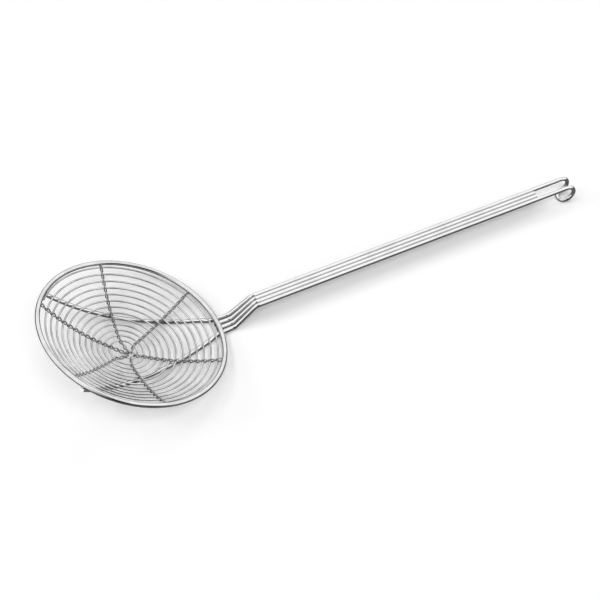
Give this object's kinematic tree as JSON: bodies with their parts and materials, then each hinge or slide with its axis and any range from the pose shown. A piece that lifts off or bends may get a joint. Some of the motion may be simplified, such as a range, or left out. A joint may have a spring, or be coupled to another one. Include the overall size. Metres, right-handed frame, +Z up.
{
  "type": "spider skimmer",
  "caption": "Shallow round bowl of spiral wire and twisted wire ribs in a ring rim, on a long handle of parallel wires that curls into a hanging hook and spreads into runners under the bowl.",
  "frame": {"origin": "on the surface the skimmer lies on, below the middle of its box", "axes": "+X along the level handle towards the hook, +Y to the left of the handle, +Z up"},
  "size_m": [0.6049, 0.2, 0.0901],
  "materials": {
    "steel": "polished"
  },
  "bodies": {
    "root": {"rim_ring": "steel", "spiral_wire": "steel", "eye_ring": "steel", "rib_1": "steel", "rib_2": "steel", "rib_3": "steel", "rib_4": "steel", "rib_5": "steel", "rib_6": "steel", "handle_outer_wire": "steel", "handle_inner_wire_left": "steel", "handle_inner_wire_right": "steel"}
  },
  "joints": []
}
